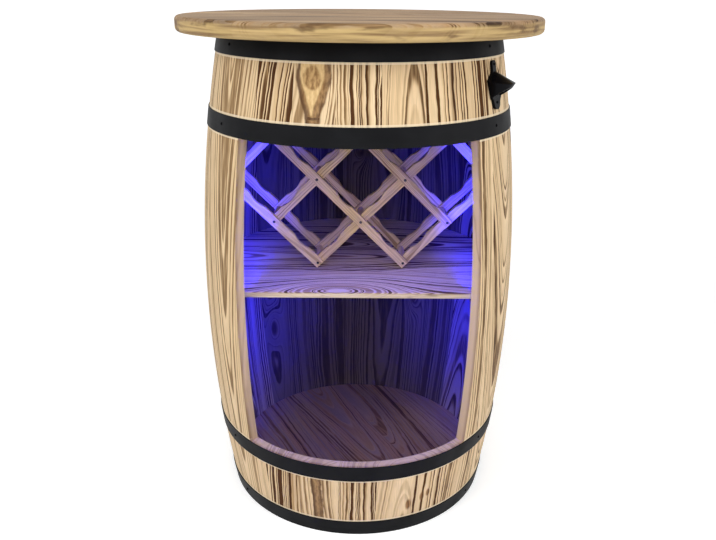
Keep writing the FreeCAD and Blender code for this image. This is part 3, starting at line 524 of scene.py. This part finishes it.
def add_knot_figure(b, place, color):
    """Paints the large knot over a board's colour."""
    knot = place_group(b, KNOT_FIGURE, across=place["Across"], along=place["Along"])
    speck = knot["Speck"]
    burnt = b.mix(b.ease(speck, 0.30, 0.70), RIM_DARK, RIM_LIGHT)
    burnt = b.mix(b.times(knot["Char"], 0.92), burnt, RIM_CHAR)
    color = b.mix(b.times(knot["Rim"], 0.92), color, burnt)
    pale = b.mix(b.ease(speck, 0.35, 0.75), INSIDE_DARK, INSIDE_LIGHT)
    color = b.mix(b.times(knot["Inside"], 0.95), color, pale)
    speckled = b.mix(b.ease(speck, 0.32, 0.66), CORE_DARK, CORE_LIGHT)
    return b.mix(b.times(knot["Core"], 0.92), color, speckled)


def add_pale_lines(b, place, z, color):
    """Paints the thin pale lines beside the hoops over a board's colour."""
    pale = 0.0
    for height in PALE_LINES:
        pale = b.plus(pale, b.near(z, height, PALE_LINE_HALF_WIDTH))
    pale = b.times(pale, b.ease(place["Depth"], *PALE_LINE_DEPTHS), PALE_LINE_STRENGTH)
    return b.mix(pale, color, PALE_LINE)


def add_soot_and_painted_shade(b, place, board, color):
    """Blackens a stave's inner face with soot and painted shade, more the further back it stands."""
    share = next(share for last, share in SOOT_AND_SHADE_INSIDE if abs(board) <= last)
    soot_and_shade = b.ease(place["Depth"], -STAVE_THICKNESS, SOOT_AND_SHADE_DEPTH - STAVE_THICKNESS, share, 0.0)
    return b.mix(soot_and_shade, color, SOOT_AND_SHADE_DARK)


def add_sawn_faces(b, place, z, board, color):
    """Paints the faces where the opening was sawn out of the finished staves."""
    sawn = b.math("MAXIMUM", b.near(z, OPENING_BOTTOM, SAWN_REACH), b.near(z, OPENING_TOP, SAWN_REACH))
    if abs(board) == JAMB_BOARD:
        sawn = b.math("MAXIMUM", sawn, b.near(place["Across"], 0.0, SAWN_REACH))
    browned = b.ease(place["Depth"], *BROWNED_DEPTHS, 0.0, 0.80)
    cut_wood = b.mix(browned, SAWN_WOOD, BROWNED_EDGE)
    return b.mix(b.times(sawn, SAWN_STRENGTH), color, cut_wood)


def make_stave_material(board):
    """Flamed pine of one stave, with its own figure, knots and pale lines."""
    pith_across, pith_depth, cone, slant, ring, wave, seed, bold, burn = board_figure(board)
    material, b, shader = new_material("flamed_stave_%02d" % (board % STAVE_COUNT + 1))
    whole = object_place(b)
    z = b.split(whole)[2]
    place = place_group(b, STAVE_PLACE, place=whole, turn=board * STAVE_TURN)
    push, core = 0.0, 0.0
    for knot_board, centre, height, size, swerve in KNOTS:
        if knot_board == board:
            knot = place_group(b, KNOT, across=place["Across"], along=place["Along"],
                               centre_across=centre, centre_along=height, size=size, swerve=swerve)
            push = b.plus(knot["Push"], push)
            core = b.math("MAXIMUM", knot["Core"], core)
    cut_from = place
    if board in SHARED_TURN:
        cut_from = place_group(b, STAVE_PLACE, place=whole, turn=SHARED_TURN[board] * STAVE_TURN)
    if board in BOLD_ON_TOP:
        bold = b.ease(z, OPENING_TOP, OPENING_TOP + BOLD_RISE, bold, BOLD_ON_TOP[board])
    grain = place_group(b, GRAIN, across=cut_from["Across"], depth=cut_from["Depth"], along=z,
                        pith_across=pith_across, pith_depth=pith_depth, cone=cone, slant=slant,
                        ring_width=ring, wave=wave, seed=float(seed), bold=bold, burn=burn, push=push,
                        knot=core)
    color = grain["Color"]
    if board == KNOT_FIGURE_BOARD:
        color = add_knot_figure(b, place, color)
    color = add_pale_lines(b, place, z, color)
    # Soot and painted shade on the inner face, darker the further back the stave stands.
    color = add_soot_and_painted_shade(b, place, board, color)
    if abs(board) <= JAMB_BOARD:
        color = add_sawn_faces(b, place, z, board, color)
    finish_wood(b, shader, color, grain)
    return material


def board_of(name):
    """A stave's place from the front, positive towards +X, from the number that ends its name."""
    number = int(name[-2:]) - 1
    return number if number <= STAVE_COUNT // 2 else number - STAVE_COUNT


for name in nodes:
    if "stave_" in name:
        dress(make_stave_material(board_of(name)), name)


# ------------------------------------------------------------ boards and slats

BOARD_LATE_WOOD = (0.10, 0.05, 0.02, 1.0)
BOARD_WAVE = 1.2
SEAM = (0.12, 0.06, 0.03, 1.0)
SEAM_REACH = 0.0007
SEAM_STRENGTH = 0.45
# Pith across and pith depth (m) and cone that a plank may draw by its number.
PLANK_PITH_ACROSS = (-0.05, 0.05)
PLANK_PITH_DEPTH = (0.012, 0.045)
PLANK_CONE = (0.02, 0.06)
# Added to a plank's number, so that its pith depth, its cone and its seed are drawn apart.
DEPTH_DRAW = 31.0
CONE_DRAW = 57.0
PLANK_SEED = 40.0
# The clouds' cells to the metre: along the board and across it.
CLOUDS_SCALE = (3.5, 15.0, 1.0)
# A cloud lightens by this share of what it darkens, and the blue changes less than the red and
# green, by this share of the clouds' strength.
CLOUD_LIGHTER = 0.7
CLOUD_BLUE_HELD = 0.10
# The edge's streaks and burnt patches, in cells to the metre: x, y and height.
EDGE_STREAK_SCALE = (9.0, 9.0, 210.0)
EDGE_PATCH_SCALE = (17.0, 17.0, 60.0)
EDGE_BURN = (0.10, 0.050, 0.022, 1.0)
EDGE_STRENGTH = 0.88


def add_clouds(b, along, across, strength, color):
    """Lightens and darkens a board in broad streaks."""
    cloud = b.noise((along, across, 0.0), CLOUDS_SCALE, detail=3.0)
    shade = b.ease(cloud, 0.32, 0.68, 1.0 - strength, 1.0 + CLOUD_LIGHTER * strength)
    held = CLOUD_BLUE_HELD * strength
    return b.scale_color(color, shade, shade, b.plus(held, b.times(shade, 1.0 - held)))


def add_edge(b, place, face, edge, color):
    """Paints a board's edge with its own streaks and burnt patches."""
    rounding, pale, brown = edge
    streak = b.noise(place, EDGE_STREAK_SCALE, detail=4.0)
    patch = b.noise(place, EDGE_PATCH_SCALE, detail=3.0)
    rim = b.mix(b.ease(streak, 0.34, 0.68), pale, brown)
    rim = b.mix(b.ease(patch, 0.56, 0.68, 0.0, 0.80), rim, EDGE_BURN)
    side = b.ease(place[2], face - rounding, face - 0.3 * rounding, EDGE_STRENGTH, 0.0)
    return b.mix(side, color, rim)


def dress_board(node, plank, ring, bold, burn, tint, turn=0.0, swirls=(), clouds=0.0, edge=None):
    """Gives a CAD board glued planks of one width that lie along x, or turned from it in degrees.

    The grain's depth is measured from the board's upper face. Swirls are places that the rings bend
    round: along, across, size and swerve. Clouds is how much broad streaks lighten and darken it. The
    edge has its own paint: the depth of its rounding, pale and brown.
    """
    material, b, shader = new_material("flamed_" + node)
    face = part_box(node)[1][2]
    x, y, z = b.split(object_place(b))
    cosine, sine = math.cos(math.radians(turn)), math.sin(math.radians(turn))
    along = b.plus(b.times(x, cosine), b.times(y, sine))
    across = b.minus(b.times(y, cosine), b.times(x, sine))
    count = b.math("FLOOR", b.over(b.plus(across, plank / 2), plank))
    middle = b.minus(across, b.times(count, plank))
    push = 0.0
    for centre_along, centre_across, size, swerve in swirls:
        swirl = place_group(b, KNOT, across=across, along=along, centre_across=centre_across,
                            centre_along=centre_along, size=size, swerve=swerve)
        push = b.plus(push, swirl["Push"])
    grain = place_group(
        b, GRAIN, across=middle, depth=b.minus(z, face), along=along, push=push,
        pith_across=b.draw(count, *PLANK_PITH_ACROSS),
        pith_depth=b.draw(b.plus(count, DEPTH_DRAW), *PLANK_PITH_DEPTH),
        cone=b.draw(b.plus(count, CONE_DRAW), *PLANK_CONE),
        ring_width=ring, wave=BOARD_WAVE, seed=b.plus(count, PLANK_SEED), bold=bold, burn=burn,
        pale=tint, dark=BOARD_LATE_WOOD)
    off_seam = b.math("ABSOLUTE", b.minus(b.math("ABSOLUTE", middle), plank / 2))
    color = b.mix(b.ease(off_seam, 0.0, SEAM_REACH, SEAM_STRENGTH, 0.0), grain["Color"], SEAM)
    if clouds:
        color = add_clouds(b, along, across, clouds, color)
    if edge:
        color = add_edge(b, (x, y, z), face, edge, color)
    finish_wood(b, shader, color, grain)
    dress(material, node)


dress_board("tabletop", plank=0.088, ring=0.0045, bold=0.55, burn=0.85,
            tint=(0.350, 0.244, 0.152, 1.0), clouds=0.34,
            edge=(0.007, (0.57, 0.405, 0.175, 1.0), (0.25, 0.155, 0.068, 1.0)))
dress_board("shelf", plank=0.12, ring=0.0042, bold=1.0, burn=0.15, tint=(0.62, 0.49, 0.34, 1.0),
            swirls=((-0.030, -0.138, 0.026, -0.045), (0.010, -0.085, 0.035, -0.020)),
            edge=(0.0015, (0.66, 0.54, 0.40, 1.0), (0.45, 0.34, 0.24, 1.0)))
# The heads' tint is burnt wood, darkened further as painted shade inside the cabinet.
for head, grain_turn in (("floor_head", -62.0), ("top_head", 0.0)):
    dress_board(head, plank=0.10, ring=0.0045, bold=0.7, burn=0.8, tint=(0.17, 0.115, 0.075, 1.0),
                turn=grain_turn)

# Half the distance between two slats that lie side by side, and the shift that puts each slat
# inside one such row. Rows count in steps, so that a front slat and the rear one differ in number.
SLAT_ROW = 0.0484
SLAT_ROW_SHIFT = 0.030
ROW_STEP = 3.0
SLAT_SEED = 70.0
SLAT_PITH_ACROSS = (-0.3, 0.3)
SLAT_EARLY_WOOD = (0.74, 0.545, 0.25, 1.0)
SLAT_LATE_WOOD = (0.24, 0.125, 0.042, 1.0)
RACK_SETS = range(1, 5)


def make_slat_material(name, slope):
    """Slats cut from clear pine; slope 1 or -1 is the way that they climb."""
    material, b, shader = new_material(name)
    x, y, z = b.split(object_place(b))
    diagonal = math.sqrt(0.5)
    along = b.times(b.plus(x, b.times(z, slope)), diagonal)
    across = b.times(b.minus(z, b.times(x, slope)), diagonal)
    row = b.math("FLOOR", b.over(b.plus(across, SLAT_ROW_SHIFT), SLAT_ROW))
    rear = b.math("GREATER_THAN", y, 0.0)
    slat = b.plus(b.times(row, ROW_STEP), rear)
    grain = place_group(
        b, GRAIN, across=across, depth=y, along=along,
        pith_across=b.draw(slat, *SLAT_PITH_ACROSS), pith_depth=0.09, cone=0.03,
        ring_width=0.0042, seed=b.plus(slat, SLAT_SEED), bold=0.36, burn=0.25,
        pale=SLAT_EARLY_WOOD, dark=SLAT_LATE_WOOD)
    finish_wood(b, shader, grain["Color"], grain)
    return material


dress(make_slat_material("pine_down_slat", -1.0), *("rack_down_slats_%d" % i for i in RACK_SETS))
dress(make_slat_material("pine_up_slat", 1.0), *("rack_up_slats_%d" % i for i in RACK_SETS))

TURNED_LATE_WOOD = (0.33, 0.18, 0.09, 1.0)


def make_turned_material(name, axes, tint):
    """Plain fine wood for dowels and cleats; axes are the ways along, across and into the grain."""
    material, b, shader = new_material(name)
    ways = dict(zip("xyz", b.split(object_place(b))))
    along, across, depth = (ways[axis] for axis in axes)
    grain = place_group(b, GRAIN, across=across, depth=depth, along=along, pith_across=0.31,
                        pith_depth=0.05, ring_width=0.0025, seed=90.0, bold=0.4, burn=0.1, pale=tint,
                        dark=TURNED_LATE_WOOD)
    finish_wood(b, shader, grain["Color"], grain)
    return material


dress(make_turned_material("beech_dowel", "yxz", (0.72, 0.51, 0.33, 1.0)),
      *("rack_dowels_%d" % i for i in RACK_SETS))
dress(make_turned_material("planed_cleat", "zxy", (0.70, 0.52, 0.32, 1.0)), "shelf_cleats")


# ---------------------------------------------------------- metal and plastics

CLOUD_SCALE = 24.0
GRIT_SCALE = 900.0
GRIT_ROUGHNESS = 0.04
GRIT_STRENGTH = 0.25
GRIT_DEPTH = 0.0002


def make_hard_material(name, color, dark, rough, metallic=0.0, scratch=0.15, gloss=0.5):
    """Metal, paint or plastic: cloudy between two colours, with uneven roughness and fine grit."""
    material, b, shader = new_material(name)
    whole = object_place(b)
    cloud = b.add("ShaderNodeTexNoise", {"Vector": whole, "Scale": CLOUD_SCALE, "Detail": 4.0})
    grit = b.add("ShaderNodeTexNoise", {"Vector": whole, "Scale": GRIT_SCALE, "Detail": 2.0})
    b.feed(shader["Base Color"], b.mix(b.ease(cloud, 0.35, 0.7), color, dark))
    b.feed(shader["Roughness"], b.plus(rough, b.swing(cloud, scratch), b.swing(grit, GRIT_ROUGHNESS)))
    bump = b.add("ShaderNodeBump", {
        "Height": grit, "Strength": GRIT_STRENGTH, "Distance": GRIT_DEPTH})
    b.feed(shader["Normal"], bump)
    shader["Metallic"].default_value = metallic
    shader["Specular IOR Level"].default_value = gloss
    return material


dress(make_hard_material("hoop_black", (0.0052, 0.0055, 0.0066, 1.0), (0.0034, 0.0036, 0.0044, 1.0),
                         rough=0.55, gloss=0.08),
      "hoop_bottom", "hoop_lower", "hoop_upper", "hoop_top")
dress(make_hard_material("screw_black", (0.0015, 0.0015, 0.0020, 1.0), (0.001, 0.001, 0.0014, 1.0),
                         rough=0.5, gloss=0.02),
      "black_screws")
dress(make_hard_material("opener_black", (0.004, 0.004, 0.005, 1.0), (0.003, 0.003, 0.004, 1.0),
                         rough=0.20, scratch=0.06, gloss=0.05),
      "bottle_opener")
dress(make_hard_material("screw_zinc", (0.66, 0.56, 0.30, 1.0), (0.50, 0.42, 0.22, 1.0),
                         rough=0.32, metallic=1.0),
      "wood_screws")
dress(make_hard_material("nail_dark", (0.06, 0.05, 0.045, 1.0), (0.03, 0.025, 0.022, 1.0),
                         rough=0.5, metallic=0.8),
      *("rack_nails_%d" % i for i in RACK_SETS))
dress(make_hard_material("grommet_black", (0.02, 0.02, 0.02, 1.0), (0.012, 0.012, 0.012, 1.0),
                         rough=0.7),
      "cable_grommet")
dress(make_hard_material("controller_white", (0.80, 0.80, 0.79, 1.0), (0.74, 0.74, 0.72, 1.0),
                         rough=0.45),
      "led_controller")

# What stands further off the wall than the tape is an LED package, and glows.
TAPE_LIFT = 0.00135
TAPE_WHITE = (0.80, 0.80, 0.82, 1.0)
PACKAGE_BLUE = (0.55, 0.60, 1.0, 1.0)
UNLIT = (0.0, 0.0, 0.0, 1.0)
PACKAGE_GLOW = (0.03, 0.03, 1.0, 1.0)
PACKAGE_GLOW_STRENGTH = 6.0
TAPE_ROUGHNESS = 0.55
PACKAGE_ROUGHNESS = 0.3


def make_led_material():
    """White tape; the packages that stand proud of it glow."""
    material, b, shader = new_material("led_tape")
    x, y, z = b.split(object_place(b))
    lift = b.minus(bent_radius(b, z, STAVE_THICKNESS), b.distance(x, y))
    lit = b.math("GREATER_THAN", lift, TAPE_LIFT)
    b.feed(shader["Base Color"], b.mix(lit, TAPE_WHITE, PACKAGE_BLUE))
    b.feed(shader["Roughness"], b.ease(lit, 0.0, 1.0, TAPE_ROUGHNESS, PACKAGE_ROUGHNESS))
    b.feed(shader["Emission Color"], b.mix(lit, UNLIT, PACKAGE_GLOW))
    shader["Emission Strength"].default_value = PACKAGE_GLOW_STRENGTH
    return material


dress(make_led_material(), "led_strip")


# --------------------------------------------------------------- light and view

# Studio lamps: place, height on the barrel's axis that they face, size (m) and power (W).
STUDIO_LAMPS = {
    "key_light": ((-2.0, -1.5, 1.9), 0.40, 1.4, 38),
    "fill_light": ((2.1, -1.4, 1.5), 0.40, 1.4, 30),
    "front_light": ((0.0, -2.4, 2.9), 0.50, 1.2, 20),
    "top_light": ((0.0, 0.6, 2.6), 0.70, 1.4, 10),
    "low_front_light": ((0.0, -2.2, 1.25), 0.45, 0.5, 9),
}

WHITE = (1.0, 1.0, 1.0)
BLUE = (0.004, 0.007, 1.0)

# Lamps that stand for the strip at each side: their middle heights are clear of the shelf, and they
# face outwards and back. Angles and spread in degrees, sizes in metres, power in watts.
SIDE_ANGLE = 47.4
SIDE_HEIGHTS = (0.185, 0.255, 0.325, 0.430, 0.500, 0.570)
SIDE_GAP = 0.009
SIDE_OUTWARDS = 0.056
SIDE_BACKWARDS = 0.083
SIDE_WIDTH = 0.010
SIDE_LENGTH = 0.060
SIDE_POWER = 1.5
SIDE_SPREAD = 110.0

# Lamps that stand for the strip over the opening: they face down.
TOP_TURN = 13
TOP_STEPS = range(-3, 4)
TOP_HEIGHT = 0.626
TOP_GAP = 0.034
TOP_WIDTH = 0.045
TOP_LENGTH = 0.010
TOP_POWER = 0.050
TOP_SPREAD = 85.0
DOWNWARDS = Vector((0.0, 0.0, -0.1))


def add_lamp(name, place, aim, size, power, color=WHITE, length=None, spread=180.0):
    """Adds an area lamp that faces its aim: square, or as long as the given length."""
    data = bpy.data.lights.new(name, "AREA")
    data.energy = power
    data.color = color
    data.size = size
    data.spread = math.radians(spread)
    if length:
        data.shape = "RECTANGLE"
        data.size_y = length
    lamp = bpy.data.objects.new(name, data)
    lamp.location = place
    lamp.rotation_euler = (Vector(aim) - Vector(place)).to_track_quat("-Z", "Y").to_euler()
    bpy.context.scene.collection.objects.link(lamp)


def place_off_wall(degrees, height, gap):
    """A place that far off the staves' inner face, so many degrees round from the front."""
    around = math.radians(degrees)
    inner = PROFILE_RADIUS - STAVE_THICKNESS
    bend = math.sqrt(inner ** 2 - (height - BULGE_HEIGHT) ** 2)
    reach = BULGE_RADIUS - PROFILE_RADIUS + bend - gap
    return Vector((reach * math.sin(around), -reach * math.cos(around), height))


def add_led_lamps():
    """Small blue lamps before the strip: at the sides they light the wall behind, on top the shelf."""
    for side in (-1, 1):
        for index, height in enumerate(SIDE_HEIGHTS):
            place = place_off_wall(side * SIDE_ANGLE, height, SIDE_GAP)
            aim = place + Vector((side * SIDE_OUTWARDS, SIDE_BACKWARDS, 0.0))
            add_lamp("led_glow_%d_%d" % (side, index), place, aim, SIDE_WIDTH, SIDE_POWER, BLUE,
                     SIDE_LENGTH, SIDE_SPREAD)
    for step in TOP_STEPS:
        place = place_off_wall(TOP_TURN * step, TOP_HEIGHT, TOP_GAP)
        add_lamp("led_glow_top_%d" % step, place, place + DOWNWARDS, TOP_WIDTH, TOP_POWER, BLUE,
                 TOP_LENGTH, TOP_SPREAD)


for name, (place, aim_height, size, power) in STUDIO_LAMPS.items():
    add_lamp(name, place, (0.0, 0.0, aim_height), size, power)
add_led_lamps()


FLOOR_SIZE = 400.0
STUDIO_WHITE = (0.86, 0.86, 0.86, 1.0)
STUDIO_ROUGHNESS = 0.9
# The floor glows where it is looked at: less near the barrel, so that a shadow shows there, and
# more from one distance (m) to the other, up to the white background.
FLOOR_DISTANCES = (0.6, 4.0)
FLOOR_GLOW = (0.45, 0.88)
BACKGROUND_WHITE = (1.0, 1.0, 1.0, 1.0)
# The background's strength as light, and where it is looked at.
BACKGROUND_LIGHT = 0.22
BACKGROUND_SEEN = 1.0


def looked_at(b):
    """1 where the camera, a reflection or a look through glass meets it, and 0 for other light."""
    rays = b.tree.nodes.new("ShaderNodeLightPath").outputs
    return b.math("MAXIMUM", rays["Is Camera Ray"],
                  b.math("MAXIMUM", rays["Is Glossy Ray"], rays["Is Transmission Ray"]))


def make_floor():
    """A large white floor, which isn't part of the cabinet."""
    bpy.ops.object.select_all(action="DESELECT")
    bpy.ops.mesh.primitive_plane_add(size=FLOOR_SIZE, location=(0.0, 0.0, 0.0))
    floor = bpy.context.object
    floor.name = "studio_floor"
    material, b, shader = new_material("studio_white")
    shader["Base Color"].default_value = STUDIO_WHITE
    shader["Roughness"].default_value = STUDIO_ROUGHNESS
    x, y = b.split(object_place(b))[:2]
    glow = b.ease(b.distance(x, y), *FLOOR_DISTANCES, *FLOOR_GLOW)
    b.feed(shader["Emission Strength"], b.times(looked_at(b), glow))
    shader["Emission Color"].default_value = BACKGROUND_WHITE
    floor.data.materials.append(material)


def make_background():
    """A white world that shows as white and lights the cabinet only a little."""
    world = bpy.data.worlds.new("studio")
    bpy.context.scene.world = world
    world.use_nodes = True
    b = Bench(world.node_tree)
    background = world.node_tree.nodes["Background"].inputs
    background["Color"].default_value = BACKGROUND_WHITE
    b.feed(background["Strength"], b.ease(looked_at(b), 0.0, 1.0, BACKGROUND_LIGHT, BACKGROUND_SEEN))


CAMERA_PLACE = (0.0, -1.187, 0.8137)
# Degrees that the camera looks down and leans, its lens (mm) and the frame's shift.
CAMERA_DOWN = 20.98
CAMERA_LEAN = 0.389
CAMERA_SENSOR = 36.0
CAMERA_LENS = 37.96
CAMERA_SHIFT = 0.0036


def add_camera():
    """Stands the camera before the opening, a little over the tabletop, looking down."""
    data = bpy.data.cameras.new("camera")
    data.sensor_width = CAMERA_SENSOR
    data.lens = CAMERA_LENS
    data.shift_y = CAMERA_SHIFT
    camera = bpy.data.objects.new("camera", data)
    camera.matrix_world = (Matrix.Translation(CAMERA_PLACE)
                           @ Matrix.Rotation(math.radians(90 - CAMERA_DOWN), 4, "X")
                           @ Matrix.Rotation(math.radians(CAMERA_LEAN), 4, "Z"))
    bpy.context.scene.collection.objects.link(camera)
    bpy.context.scene.camera = camera


make_floor()
make_background()
add_camera()
bpy.context.scene.view_settings.view_transform = "Standard"
